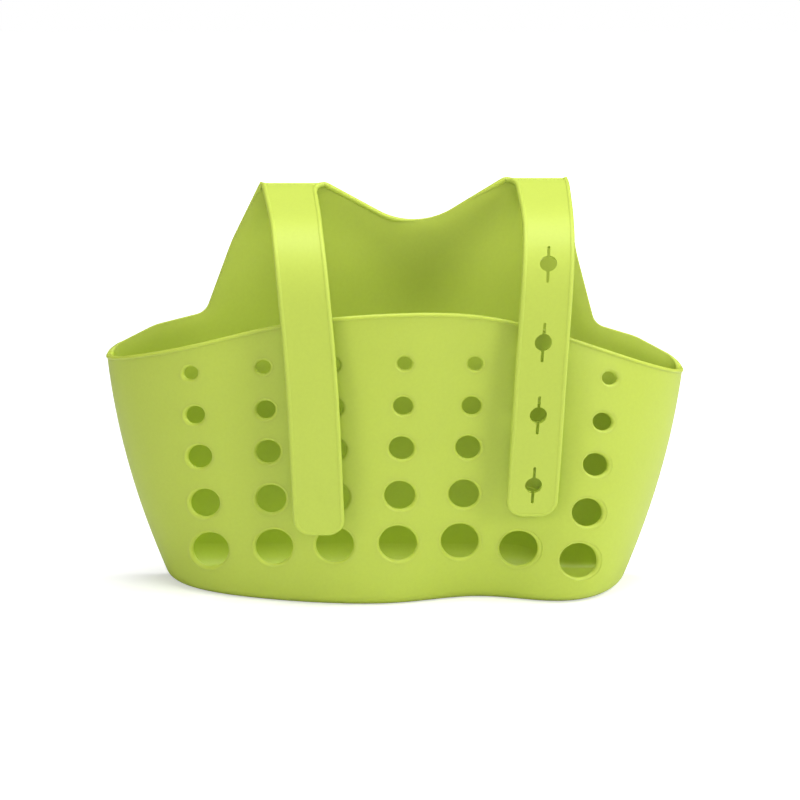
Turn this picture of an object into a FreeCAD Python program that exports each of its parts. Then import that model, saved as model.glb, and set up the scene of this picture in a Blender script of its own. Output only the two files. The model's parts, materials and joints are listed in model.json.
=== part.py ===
"""Hanging sink caddy: a soft plastic drain basket with a horned back panel and two button straps.

Millimetres. +Z is up, the perforated front wall faces -Y, and the origin is the middle of the flat base.
"""

import FreeCAD
import Part
import Sketcher
import math
import os

SIZES = {
    # Pouch: a plan of half an ellipse in front of a straight back, growing from the base to the rim
    "rim_half_width": 102.5,
    "base_half_width": 81.2,
    "rim_depth": 53.0,
    "base_depth": 43.0,
    "side_bulge": 0.61,
    "front_bulge": 0.5,
    "rear_face": 23.0,
    "rear_corner_radius": 5.0,
    "wall": 2.2,
    "floor_thickness": 2.5,
    "base_round": 3.5,
    # Heights of the front rim at even steps from its left end to its right end
    "rim_height_1": 82.0,
    "rim_height_2": 91.2,
    "rim_height_3": 99.9,
    "rim_height_4": 103.4,
    "rim_height_5": 101.1,
    "rim_height_6": 90.8,
    "rim_height_7": 76.9,
    # Soft swells of the front wall between and beside the lobes, in where they are negative
    "left_swell_place": -48.0,
    "left_swell_width": 15.0,
    "left_swell_at_rim": -3.0,
    "left_swell_at_base": -0.5,
    "middle_swell_place": 29.7,
    "middle_swell_width": 23.4,
    "middle_swell_at_rim": -4.0,
    "middle_swell_at_base": -11.3,
    "right_swell_place": 82.3,
    "right_swell_width": 33.6,
    "right_swell_at_rim": 0.0,
    "right_swell_at_base": 25.1,
    # Raised lip along the front rim
    "lip_height": 2.2,
    "lip_proud": 0.6,
    # Back panel with two horns and a saddle between them
    "left_horn_height": 141.8,
    "right_horn_height": 143.6,
    "horn_spacing": 89.6,
    "horn_sway": 6.9,
    "crease_width": 19.4,
    "horn_inner_margin": 3.8,
    "left_horn_outer_margin": 1.5,
    "right_horn_outer_margin": 0.2,
    "horn_corner_round": 4.0,
    "horn_foot_half_width": 69.6,
    "horn_foot_sway": 1.7,
    "horn_foot_round": 6.0,
    "left_flank_place": -58.3,
    "left_flank_height": 121.7,
    "right_flank_place": 64.0,
    "right_flank_height": 119.0,
    "horn_flank_round": 60.0,
    "left_foot_height": 96.2,
    "right_foot_height": 91.8,
    "back_rim_bend_half_width": 86.0,
    "left_bend_height": 91.6,
    "right_bend_height": 87.4,
    "back_rim_round": 20.0,
    "left_back_end_height": 83.2,
    "right_back_end_height": 78.6,
    "saddle_apex_height": 125.4,
    "saddle_apex_place": 7.2,
    "saddle_round": 26.0,
    # Drain holes in the front wall: rows counted from the rim down
    "side_columns": 3,
    "row_1_height": 86.8,
    "row_2_height": 72.0,
    "row_3_height": 57.2,
    "row_4_height": 40.4,
    "row_5_height": 23.1,
    "row_1_diameter": 5.0,
    "row_2_diameter": 6.7,
    "row_3_diameter": 8.6,
    "row_4_diameter": 10.6,
    "row_5_diameter": 13.2,
    "row_1_pitch": 24.0,
    "row_5_pitch": 21.5,
    "row_1_sway": 3.3,
    "row_5_sway": 1.0,
    "left_pitch_gain": 0.028,
    "row_droop": 6.2,
    "column_drop": 0.25,
    # Drain holes in the floor
    "drain_pairs": 3,
    "drain_diameter": 9.0,
    "drain_pitch": 22.0,
    # Straps: a web with a thicker bead all round, creased on the horn and bent over the front rim
    "strap_width": 17.5,
    "strap_web": 1.6,
    "strap_bead": 2.6,
    "strap_bead_width": 1.6,
    "strap_tip_round": 6.0,
    "shoulder_radius": 14.0,
    "right_bridge_length": 43.5,
    "right_bridge_slope": 13.0,
    "right_shoulder_exit": 80.0,
    "right_tip_angle": 105.0,
    "right_drop_length": 91.1,
    "right_bridge_lean": 0.0,
    "right_middle_lean": -3.1,
    "right_tip_lean": -5.3,
    "left_bridge_length": 47.5,
    "left_bridge_slope": 12.0,
    "left_shoulder_exit": 82.0,
    "left_tip_angle": 102.0,
    "left_drop_length": 93.8,
    "left_bridge_lean": 4.6,
    "left_middle_lean": 10.2,
    "left_tip_lean": 12.0,
    # Bending lines of the straps
    "crease_lip": 1.2,
    "crease_taper": 4.0,
    "crease_clearance": 0.9,
    "crease_bead_start": 2.6,
    "knuckle_clearance": 0.3,
    # Keyholes in the right strap, counted from its tip
    "keyholes": 4,
    "keyhole_pitch": 25.6,
    "keyhole_from_tip": 12.3,
    "keyhole_diameter": 6.2,
    "keyhole_slit": 1.0,
    "keyhole_length": 13.5,
    # Snap stud on the inner face of the left strap
    "stud_from_tip": 13.0,
    "stud_flange_diameter": 10.0,
    "stud_flange_height": 0.7,
    "stud_neck_diameter": 5.4,
    "stud_neck_length": 2.4,
    "stud_head_diameter": 8.4,
    "stud_head_height": 2.0,
    "stud_seat_gap": 0.06,
}
ROWS = 5
RIM_STATIONS = 7
SWELLS = ["left", "middle", "right"]
LINK_NAMES = ["bridge", "shoulder", "upper", "lower", "tip"]
OUTLINE_POINTS = 32
SECTION_SHARES = [0.0, 0.2, 0.5, 1.0]
BASE_ROUND_STEPS = 3
# How far cutting tools reach past what they cut
REACH = 60.0
# How far the outside is drawn behind the rear face before it is cut flat
REAR_SPARE = 0.4

doc = FreeCAD.newDocument("sink_caddy")
sheet = doc.addObject("Spreadsheet::Sheet", "sizes")
for row, (alias, value) in enumerate(SIZES.items(), start=1):
    sheet.set(f"A{row}", alias)
    sheet.set(f"B{row}", str(value))
    sheet.setAlias(f"B{row}", alias)
doc.recompute()


def size(alias):
    return float(sheet.get(alias))


def vector(x, y, z):
    return FreeCAD.Vector(x, y, z)


# Booleans and prisms


def combined(kind, name, base, tool):
    """A Part::Cut, Part::Fuse or Part::Common of two objects."""
    result = doc.addObject(kind, name)
    result.Base = base
    result.Tool = tool
    return result


def cut(name, base, tool):
    return combined("Part::Cut", name, base, tool)


def fuse(name, base, tool):
    return combined("Part::Fuse", name, base, tool)


def common(name, base, tool):
    return combined("Part::Common", name, base, tool)


def gathered(name, shapes):
    """Several tools that don't touch, as one object."""
    group = doc.addObject("Part::Compound", name)
    group.Links = shapes
    return group


def upright_sketch(body, name):
    """A sketch on the body's own XZ plane, so its x is X and its y is Z."""
    sketch = body.newObject("Sketcher::SketchObject", name)
    plane = [feature for feature in body.Origin.OriginFeatures if feature.Role == "XZ_Plane"][0]
    sketch.AttachmentSupport = [(plane, "")]
    sketch.MapMode = "FlatFace"
    return sketch


def placed_lines(sketch, corners):
    """A closed outline of straight lines through corners, each held by its two coordinates."""
    count = len(corners)
    for index, corner in enumerate(corners):
        following = corners[(index + 1) % count]
        sketch.addGeometry(Part.LineSegment(vector(*corner, 0), vector(*following, 0)), False)
    for index, (x, z) in enumerate(corners):
        sketch.addConstraint(Sketcher.Constraint("Coincident", index, 2, (index + 1) % count, 1))
        sketch.addConstraint(Sketcher.Constraint("DistanceX", -1, 1, index, 1, x))
        sketch.addConstraint(Sketcher.Constraint("DistanceY", -1, 1, index, 1, z))


def upright_prism(name, corners, rounds=()):
    """A prism along Y through the whole caddy, with some upright corners rounded.

    rounds is a list of (corner numbers, expression for the radius).
    """
    body = doc.addObject("PartDesign::Body", name)
    sketch = upright_sketch(body, f"{name}_sketch")
    placed_lines(sketch, corners)
    pad = body.newObject("PartDesign::Pad", f"{name}_pad")
    pad.Profile = sketch
    pad.setExpression("Length", f"4 * sizes.rim_depth + {REACH}")
    pad.Midplane = True
    doc.recompute()
    for numbers, radius in rounds:
        base = body.Tip
        spots = [corners[number] for number in numbers]
        edges = [
            f"Edge{index}"
            for index, edge in enumerate(base.Shape.Edges, start=1)
            if any(math.dist((edge.CenterOfMass.x, edge.CenterOfMass.z), spot) < 1e-4 for spot in spots)
        ]
        fillet = body.newObject("PartDesign::Fillet", f"{name}_round_{numbers[0]}")
        fillet.Base = (base, edges)
        fillet.setExpression("Radius", radius)
        doc.recompute()
    return body


# Pouch


def rim_top():
    """The height of the highest station of the front rim."""
    return max(size(f"rim_height_{number}") for number in range(1, RIM_STATIONS + 1))


def half_width(height):
    ends = (size("rim_height_1") + size(f"rim_height_{RIM_STATIONS}")) / 2
    share = height / ends
    growth = share + size("side_bulge") * share * (1 - share)
    return size("base_half_width") + (size("rim_half_width") - size("base_half_width")) * growth


def front_depth(height):
    share = height / rim_top()
    growth = share + size("front_bulge") * share * (1 - share)
    return size("base_depth") + (size("rim_depth") - size("base_depth")) * growth


def swell(x, height):
    """How far the swells push the front wall out."""
    share = height / rim_top()
    total = 0.0
    for name in SWELLS:
        at_rim = size(f"{name}_swell_at_rim")
        at_base = size(f"{name}_swell_at_base")
        depth = at_base + (at_rim - at_base) * share
        total += depth * math.exp(-(((x - size(f"{name}_swell_place")) / size(f"{name}_swell_width")) ** 2))
    return total


def ellipse_line():
    """The Y where the half ellipse of the front wall meets the round rear corners."""
    return size("rear_face") - size("rear_corner_radius")


def front_point(angle, height, inset):
    x = -(half_width(height) - inset) * math.cos(angle)
    y = ellipse_line() - (front_depth(height) - inset + swell(x, height)) * math.sin(angle)
    return vector(x, y, height)


def pouch_section(name, height, inset, spare):
    """One closed plan outline of the pouch, drawn in by inset, with its back moved out by spare."""
    angles = [math.pi * index / OUTLINE_POINTS for index in range(OUTLINE_POINTS + 1)]
    depth = front_depth(height) - inset
    front = Part.BSplineCurve()
    front.interpolate(
        Points=[front_point(angle, height, inset) for angle in angles],
        Parameters=angles,
        InitialTangent=vector(0, -depth, 0),
        FinalTangent=vector(0, depth, 0),
    )
    corner = size("rear_corner_radius") - inset + spare
    side = half_width(height) - inset
    line = ellipse_line()
    slant = corner * math.sqrt(0.5)

    def rear_corner(sign):
        centre = sign * (side - corner)
        spots = [(sign * side, line), (centre + sign * slant, line + slant), (centre, line + corner)]
        return Part.Arc(*[vector(x, y, height) for x, y in spots]).toShape()

    rear_line = line + corner
    rear = Part.LineSegment(vector(side - corner, rear_line, height), vector(corner - side, rear_line, height))
    section = doc.addObject("Part::Feature", name)
    section.Shape = Part.Wire([front.toShape(), rear_corner(1), rear.toShape(), rear_corner(-1)])
    return section


def lofted(name, levels, spare):
    """A closed body through the pouch outlines at levels, each a height and an inset."""
    loft = doc.addObject("Part::Loft", name)
    loft.Sections = [
        pouch_section(f"{name}_{index}", height, inset, spare) for index, (height, inset) in enumerate(levels)
    ]
    loft.Solid = True
    return loft


def pouch_body(name, foot, inset, spare):
    """The pouch outline, drawn in by inset, from the height of foot to above the horns."""
    rise = horn_top() + REACH / 10 - foot
    return lofted(name, [(foot + rise * share, inset) for share in SECTION_SHARES], spare)


def rounded_foot():
    """The lowest slice of the pouch, with its edge rounded."""
    radius = size("base_round")
    levels = []
    for step in range(BASE_ROUND_STEPS + 1):
        turn = math.pi / 2 * step / BASE_ROUND_STEPS
        levels.append((radius * (1 - math.cos(turn)), radius * (1 - math.sin(turn))))
    return lofted("foot", levels, REAR_SPARE)


def rim_prism(name, drop):
    """Everything under the front rim, lowered by drop, from the rear face forward."""
    step = 2 * size("rim_half_width") / (RIM_STATIONS - 1)
    line = [
        (step * number - size("rim_half_width"), size(f"rim_height_{number + 1}") - drop)
        for number in range(RIM_STATIONS)
    ]
    before = (2 * line[0][0] - line[1][0], 2 * line[0][1] - line[1][1])
    after = (2 * line[-1][0] - line[-2][0], 2 * line[-1][1] - line[-2][1])
    spots = [vector(x, size("rear_face"), z) for x, z in [before, *line, after]]
    rim = Part.BSplineCurve()
    rim.interpolate(spots)
    foot = [vector(x, size("rear_face"), -REACH) for x, _ in (after, before)]
    sides = Part.makePolygon([spots[-1], *foot, spots[0]])
    profile = doc.addObject("Part::Feature", f"{name}_profile")
    profile.Shape = Part.Face(Part.Wire([rim.toShape()] + sides.Edges))
    return extruded(name, profile, vector(0, -1, 0), f"4 * sizes.rim_depth + {REACH}")


def rear_block(name, spare):
    """A block from between the front wall and the back panel to the rear face, or past it by spare."""
    block = doc.addObject("Part::Box", name)
    block.setExpression("Length", f"2 * sizes.rim_half_width + {2 * REACH}")
    block.setExpression("Width", f"(sizes.rear_corner_radius + sizes.wall) / 2 + {spare}")
    block.setExpression("Height", f"sizes.left_horn_height + sizes.right_horn_height + {2 * REACH}")
    block.setExpression("Placement.Base.x", f"-sizes.rim_half_width - {REACH}")
    block.setExpression("Placement.Base.y", "sizes.rear_face - (sizes.rear_corner_radius + sizes.wall) / 2")
    block.Placement.Base.z = -REACH
    return block


def horn_centre(side):
    sign = 1 if side == "right" else -1
    return sign * size("horn_spacing") / 2 + size("horn_sway")


def horn_top():
    return max(size("left_horn_height"), size("right_horn_height"))


def back_outline():
    """Everything inside the outline of the back panel, horns and saddle, seen from the front."""
    rim = size("rim_half_width")
    bend = size("back_rim_bend_half_width")
    foot = size("horn_foot_half_width")
    half_crease = size("crease_width") / 2
    far = rim + REACH / 3

    def side_corners(sign, side):
        centre = horn_centre(side)
        top = size(f"{side}_horn_height") + size("crease_lip") / 2
        end_height = size(f"{side}_back_end_height")
        bend_height = size(f"{side}_bend_height")
        slope = (bend_height - end_height) / (rim - bend)
        return [
            (sign * far, -REACH),
            (sign * far, end_height - slope * (far - rim)),
            (sign * bend, bend_height),
            (sign * foot + size("horn_foot_sway"), size(f"{side}_foot_height")),
            (size(f"{side}_flank_place"), size(f"{side}_flank_height")),
            (centre + sign * (half_crease + size(f"{side}_horn_outer_margin")), top),
            (centre - sign * (half_crease + size("horn_inner_margin")), top),
        ]

    left = side_corners(-1, "left")
    right = side_corners(1, "right")
    apex = (size("saddle_apex_place"), size("saddle_apex_height"))
    corners = left + [apex] + right[::-1]
    rounds = [
        ([2, 12], "sizes.back_rim_round"),
        ([3, 11], "sizes.horn_foot_round"),
        ([4, 10], "sizes.horn_flank_round"),
        ([6, 8], "sizes.horn_corner_round"),
        ([7], "sizes.saddle_round"),
    ]
    return upright_prism("back_outline", corners, rounds)


def row_value(row, quantity):
    """A quantity of the hole rows that runs evenly from the first row to the last."""
    first = size("row_1_height")
    last = size(f"row_{ROWS}_height")
    share = (first - size(f"row_{row}_height")) / (first - last)
    return size(f"row_1_{quantity}") + (size(f"row_{ROWS}_{quantity}") - size(f"row_1_{quantity}")) * share


def wall_holes():
    """Cylinders along Y through the front wall only."""
    tools = []
    columns = int(size("side_columns"))
    for row in range(1, ROWS + 1):
        for column in range(-columns, columns + 1):
            tool = doc.addObject("Part::Cylinder", f"hole_{row}_{column + columns + 1}")
            tool.setExpression("Radius", f"sizes.row_{row}_diameter / 2")
            tool.setExpression("Height", f"2 * sizes.rim_depth + {REACH}")
            gain = 1 - math.copysign(size("left_pitch_gain"), column)
            x = column * row_value(row, "pitch") * gain + row_value(row, "sway")
            droop = size("row_droop") * (column / columns) ** 2 + size("column_drop") * column
            z = size(f"row_{row}_height") - droop
            inside = ellipse_line() - size("rear_corner_radius")
            tool.Placement = FreeCAD.Placement(vector(x, inside, z), FreeCAD.Rotation(vector(1, 0, 0), 90))
            tools.append(tool)
    return tools


def floor_drains():
    tools = []
    pairs = int(size("drain_pairs"))
    for number in range(2 * pairs):
        tool = doc.addObject("Part::Cylinder", f"drain_{number + 1}")
        tool.setExpression("Radius", "sizes.drain_diameter / 2")
        tool.setExpression("Height", "4 * sizes.floor_thickness")
        tool.setExpression("Placement.Base.x", f"{number - pairs + 0.5} * sizes.drain_pitch")
        middle_line = "sizes.rear_face - (sizes.base_depth + sizes.rear_corner_radius) / 2"
        tool.setExpression("Placement.Base.y", middle_line)
        tool.setExpression("Placement.Base.z", "-sizes.floor_thickness")
        tools.append(tool)
    return tools


def crease_line(side):
    """The bending axis on top of a horn: its Y and Z."""
    return size("rear_face") - size("wall") / 2, size(f"{side}_horn_height")


def crease_cutter(side):
    """What is cut away around the top of a horn to leave the thin crease lip with its round edge."""
    y, z = crease_line(side)
    lip = size("crease_lip") / 2
    half_wall = size("wall") / 2
    low = z - size("crease_taper")
    far = size("wall") + REACH / 4
    high = z + REACH
    x = horn_centre(side) - size("crease_width")
    outside = [(y + lip, z), (y + half_wall, low), (y + far, low), (y + far, high)]
    outside += [(y - far, high), (y - far, low), (y - half_wall, low), (y - lip, z)]
    round_edge = Part.Arc(vector(x, y - lip, z), vector(x, y, z + lip), vector(x, y + lip, z))
    outline = Part.makePolygon([vector(x, *spot) for spot in outside])
    profile = doc.addObject("Part::Feature", f"{side}_crease_profile")
    profile.Shape = Part.Face(Part.Wire(outline.Edges + [round_edge.toShape()]))
    return extruded(f"{side}_crease_cutter", profile, vector(1, 0, 0), "2 * sizes.crease_width")


def extruded(name, profile, direction, length):
    """A flat profile extruded along a direction."""
    prism = doc.addObject("Part::Extrusion", name)
    prism.Base = profile
    prism.DirMode = "Custom"
    prism.Dir = direction
    prism.setExpression("LengthFwd", length)
    prism.Solid = True
    return prism


def basket():
    wall = fuse("outside", rounded_foot(), pouch_body("upper_outside", size("base_round"), 0.0, REAR_SPARE))
    swollen = pouch_body("swollen", size("base_round"), -size("lip_proud"), REAR_SPARE)
    below_lip = fuse("below_lip", rim_prism("lowered_rim", size("lip_height")), rear_block("lip_end", REACH))
    lipped = fuse("lipped", wall, cut("lip", swollen, below_lip))
    cavity = pouch_body("cavity", size("floor_thickness"), size("wall"), 0.0)
    shell = cut("shell", lipped, cavity)
    panel = common("panel_space", back_outline(), rear_block("panel_depth", 0.0))
    cutters = gathered("crease_cutters", [crease_cutter("left"), crease_cutter("right")])
    kept = fuse("kept_space", rim_prism("rim", 0.0), cut("creased_panel_space", panel, cutters))
    drained = cut("drained_space", kept, gathered("drain_tools", wall_holes() + floor_drains()))
    return common("basket", shell, drained)


# Straps


class StrapPath:
    """The middle line of a strap, seen from the side: a straight bridge, a shoulder arc and a long drop arc.

    Angles are the slope of the line below forward, in degrees.
    """

    def __init__(self, side):
        self.side = side
        self.start = vector(0, *crease_line(side))
        self.slope = size(f"{side}_bridge_slope")
        self.exit = size(f"{side}_shoulder_exit")
        self.tip = size(f"{side}_tip_angle")
        self.bridge = size(f"{side}_bridge_length")
        self.shoulder_radius = size("shoulder_radius")
        self.shoulder = self.shoulder_radius * math.radians(self.exit - self.slope)
        self.drop = size(f"{side}_drop_length")
        self.drop_radius = self.drop / math.radians(self.tip - self.exit)
        self.length = self.bridge + self.shoulder + self.drop

    @staticmethod
    def along(angle):
        return vector(0, -math.cos(math.radians(angle)), -math.sin(math.radians(angle)))

    @staticmethod
    def outward(angle):
        return vector(0, -math.sin(math.radians(angle)), math.cos(math.radians(angle)))

    def shoulder_centre(self):
        bridge_end = self.start + self.along(self.slope) * self.bridge
        return bridge_end - self.outward(self.slope) * self.shoulder_radius

    def drop_centre(self):
        exit_point = self.shoulder_centre() + self.outward(self.exit) * self.shoulder_radius
        return exit_point - self.outward(self.exit) * self.drop_radius

    def at(self, distance):
        """The point and slope at a distance along the strap."""
        if distance <= self.bridge:
            return self.start + self.along(self.slope) * distance, self.slope
        if distance <= self.bridge + self.shoulder:
            angle = self.slope + math.degrees((distance - self.bridge) / self.shoulder_radius)
            return self.shoulder_centre() + self.outward(angle) * self.shoulder_radius, angle
        angle = self.exit + math.degrees((distance - self.bridge - self.shoulder) / self.drop_radius)
        return self.drop_centre() + self.outward(angle) * self.drop_radius, angle

    def bends(self):
        """Distances of the bending lines after the crease: before the shoulder and between the keyholes."""
        tip_link = size("keyhole_from_tip") + size("keyhole_pitch") / 2
        lower = [self.length - tip_link - size("keyhole_pitch") * step for step in (2, 1, 0)]
        return [self.bridge] + lower

    def middle(self, height):
        """The X of the strap's middle at a height: its sideways lean is named at three places."""
        reached = (self.start.z, 0.0)
        for name, place in (
            ("bridge", self.bridge),
            ("middle", self.length - self.drop / 2),
            ("tip", self.length),
        ):
            goal = (self.at(place)[0].z, size(f"{self.side}_{name}_lean"))
            share = (reached[0] - height) / (reached[0] - goal[0])
            lean = reached[1] + (goal[1] - reached[1]) * share
            if share <= 1:
                break
            reached = goal
        return horn_centre(self.side) + lean

    def half_width(self, height):
        """Half the strap's width at a height: it narrows along the bridge and then stays the same."""
        share = (self.start.z - height) / (self.start.z - self.at(self.bridge)[0].z)
        return (size("crease_width") + (size("strap_width") - size("crease_width")) * min(share, 1.0)) / 2

    def arc(self, centre, radius, first, last):
        angles = (first, (first + last) / 2, last)
        return Part.Arc(*[centre + self.outward(angle) * radius for angle in angles]).toShape()

    def side_face(self, x, half, begin):
        """The strap's side profile, half thick to each side of the line, from a distance along the bridge."""
        away = vector(x, 0, 0)
        first = self.start + self.along(self.slope) * begin + away
        last = self.start + self.along(self.slope) * self.bridge + away
        rise = self.outward(self.slope) * half
        shoulder = self.shoulder_centre() + away
        drop = self.drop_centre() + away
        tip = self.at(self.length)[0] + away
        tip_rise = self.outward(self.tip) * half
        edges = [
            Part.LineSegment(first + rise, last + rise).toShape(),
            self.arc(shoulder, self.shoulder_radius + half, self.slope, self.exit),
            self.arc(drop, self.drop_radius + half, self.exit, self.tip),
            Part.LineSegment(tip + tip_rise, tip - tip_rise).toShape(),
            self.arc(drop, self.drop_radius - half, self.tip, self.exit),
            self.arc(shoulder, self.shoulder_radius - half, self.exit, self.slope),
            Part.LineSegment(last - rise, first - rise).toShape(),
            Part.LineSegment(first - rise, first + rise).toShape(),
        ]
        return Part.Face(Part.Wire(edges))


def strap_outline(name, path, inset):
    """The leaning outline of a strap seen from the front, drawn in by inset, with a rounded tip."""
    foot = path.at(path.length)[0].z + size("strap_web") / 2 + inset
    middle = path.at(path.length - path.drop / 2)[0].z
    narrow = path.at(path.bridge)[0].z
    top = path.start.z + REACH / 10

    def corner(height, sign):
        return path.middle(height) + sign * (path.half_width(height) - inset), height

    levels = [foot, middle, narrow, top]
    corners = [corner(foot, -1)] + [corner(level, 1) for level in levels]
    corners += [corner(level, -1) for level in reversed(levels[1:])]
    radius = "sizes.strap_tip_round" if inset == 0 else "sizes.strap_tip_round - sizes.strap_bead_width"
    return upright_prism(name, corners, [([0, 1], radius)])


def strap_band(path):
    """The whole strap as one body: a thin web with a bead along its edge."""
    side = path.side
    start = horn_centre(side) - 2 * size("crease_width")
    bodies = {}
    for layer, half, begin in (
        ("web", size("strap_web") / 2, 0.0),
        ("bead", size("strap_bead") / 2, size("crease_bead_start")),
    ):
        profile = doc.addObject("Part::Feature", f"{side}_{layer}_profile")
        profile.Shape = path.side_face(start, half, begin)
        bodies[layer] = extruded(f"{side}_{layer}_slab", profile, vector(1, 0, 0), "4 * sizes.crease_width")
    outline = strap_outline(f"{side}_outline", path, 0.0)
    inner = strap_outline(f"{side}_inner_outline", path, size("strap_bead_width"))
    web = common(f"{side}_web", bodies["web"], outline)
    bead = cut(f"{side}_bead", common(f"{side}_bead_plate", bodies["bead"], outline), inner)
    return fuse(f"{side}_band", web, bead)


def turned(path, distance, x):
    """A placement at a distance along the strap: local Y runs along the strap and local Z points inward."""
    point, angle = path.at(distance)
    return FreeCAD.Placement(vector(x, point.y, point.z), FreeCAD.Rotation(vector(1, 0, 0), 180 + angle))


def keyholes(path):
    """A round hole with a slit above and below it, for each keyhole."""
    tools = []
    for number in range(int(size("keyholes"))):
        distance = path.length - size("keyhole_from_tip") - number * size("keyhole_pitch")
        point = path.at(distance)[0]
        place = turned(path, distance, path.middle(point.z))
        hole = doc.addObject("Part::Cylinder", f"keyhole_{number + 1}")
        hole.setExpression("Radius", "sizes.keyhole_diameter / 2")
        hole.setExpression("Height", "4 * sizes.strap_bead")
        sunk = vector(0, 0, -2 * size("strap_bead"))
        hole.Placement = place.multiply(FreeCAD.Placement(sunk, FreeCAD.Rotation()))
        slit = doc.addObject("Part::Box", f"keyhole_slit_{number + 1}")
        slit.setExpression("Length", "sizes.keyhole_slit")
        slit.setExpression("Width", "sizes.keyhole_length")
        slit.setExpression("Height", "4 * sizes.strap_bead")
        corner = vector(-size("keyhole_slit") / 2, -size("keyhole_length") / 2, -2 * size("strap_bead"))
        slit.Placement = place.multiply(FreeCAD.Placement(corner, FreeCAD.Rotation()))
        tools += [hole, slit]
    return tools


def bend_cylinder(name, path, distance, radius):
    """A cylinder on a bending line, wider than the strap."""
    tool = doc.addObject("Part::Cylinder", name)
    tool.setExpression("Radius", radius)
    tool.setExpression("Height", "4 * sizes.crease_width")
    point = path.at(distance)[0]
    start = vector(horn_centre(path.side) - 2 * size("crease_width"), point.y, point.z)
    tool.Placement = FreeCAD.Placement(start, FreeCAD.Rotation(vector(0, 1, 0), 90))
    return tool


def beyond_bend(name, path, distance):
    """A block of everything past a bending line."""
    block = doc.addObject("Part::Box", name)
    block.setExpression("Length", "4 * sizes.crease_width")
    block.setExpression("Width", f"2 * sizes.{path.side}_horn_height + {REACH}")
    block.setExpression("Height", f"4 * sizes.{path.side}_horn_height + {REACH}")
    place = turned(path, distance, horn_centre(path.side))
    corner = vector(-2 * size("crease_width"), 0, -2 * size(f"{path.side}_horn_height") - REACH / 2)
    block.Placement = place.multiply(FreeCAD.Placement(corner, FreeCAD.Rotation()))
    return block


def strap_links(side):
    """A strap cut at its bending lines: each link starts in a round knuckle that its neighbour clears."""
    path = StrapPath(side)
    band = strap_band(path)
    if side == "right":
        band = cut("right_band_holed", band, gathered("keyhole_tools", keyholes(path)))
    bends = path.bends()
    clearance = "sizes.crease_lip / 2 + sizes.crease_clearance"
    rest = cut(f"{side}_creased", band, bend_cylinder(f"{side}_crease_room", path, 0.0, clearance))
    links = []
    for number, distance in enumerate(bends):
        name = f"{side}_strap_{LINK_NAMES[number]}"
        beyond = beyond_bend(f"{name}_beyond", path, distance)
        knuckle = bend_cylinder(f"{name}_knuckle", path, distance, "sizes.strap_bead / 2")
        room = bend_cylinder(f"{name}_room", path, distance, "sizes.strap_bead / 2 + sizes.knuckle_clearance")
        links.append(cut(name, rest, fuse(f"{name}_end", beyond, room)))
        rest = common(f"{name}_rest", rest, fuse(f"{name}_next", beyond, knuckle))
    last = doc.addObject("Part::Compound", f"{side}_strap_{LINK_NAMES[-1]}")
    last.Links = [rest]
    return links + [last]


# Snap stud


def snap_stud():
    """A mushroom button on the inner face of the left strap, turned from one profile."""
    path = StrapPath("left")
    body = doc.addObject("PartDesign::Body", "snap_stud")
    sketch = upright_sketch(body, "stud_sketch")
    flange = size("stud_flange_diameter") / 2
    neck = size("stud_neck_diameter") / 2
    head = size("stud_head_diameter") / 2
    shelf = size("stud_flange_height")
    under = size("stud_neck_length")
    top = under + size("stud_head_height")
    rim = under + size("stud_head_height") / 3
    placed_lines(
        sketch,
        [
            (0, 0),
            (flange, 0),
            (flange, shelf / 2),
            (neck, shelf),
            (neck, under),
            (head, under),
            (head, rim),
            (head / 2, top),
            (0, top),
        ],
    )
    turn = body.newObject("PartDesign::Revolution", "stud_turn")
    turn.Profile = sketch
    turn.ReferenceAxis = (sketch, ["V_Axis"])
    turn.Angle = 360
    distance = path.length - size("stud_from_tip")
    point, angle = path.at(distance)
    inward = path.outward(angle) * -(size("strap_web") / 2 + size("stud_seat_gap"))
    seat = vector(path.middle(point.z), point.y, point.z) + inward
    body.Placement = FreeCAD.Placement(seat, FreeCAD.Rotation(vector(0, 0, 1), path.outward(angle) * -1))
    return body


def main():
    parts = [basket()] + strap_links("left") + strap_links("right") + [snap_stud()]
    doc.recompute()
    failed = [thing.Name for thing in doc.Objects if {"Invalid", "Error"} & set(thing.State)]
    if failed:
        raise SystemExit(f"failed to rebuild: {failed}")
    for part in parts:
        if part.Shape.isNull() or not part.Shape.isValid():
            raise SystemExit(f"bad shape: {part.Label}")
        if len(part.Shape.Solids) != 1:
            raise SystemExit(f"{part.Label} has {len(part.Shape.Solids)} solids")
    os.makedirs("parts", exist_ok=True)
    for part in parts:
        part.Shape.exportStep(f"parts/{part.Label}.step")
        print(part.Label, round(part.Shape.Volume, 1))


main()
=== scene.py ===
"""Looks of the hanging sink caddy: soft lime plastic skins, rolled edges and creased straps.

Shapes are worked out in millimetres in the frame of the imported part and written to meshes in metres.
"""

import json
import math

import bmesh
import bpy
import numpy as np
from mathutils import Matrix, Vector, geometry
from mathutils.kdtree import KDTree


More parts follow.
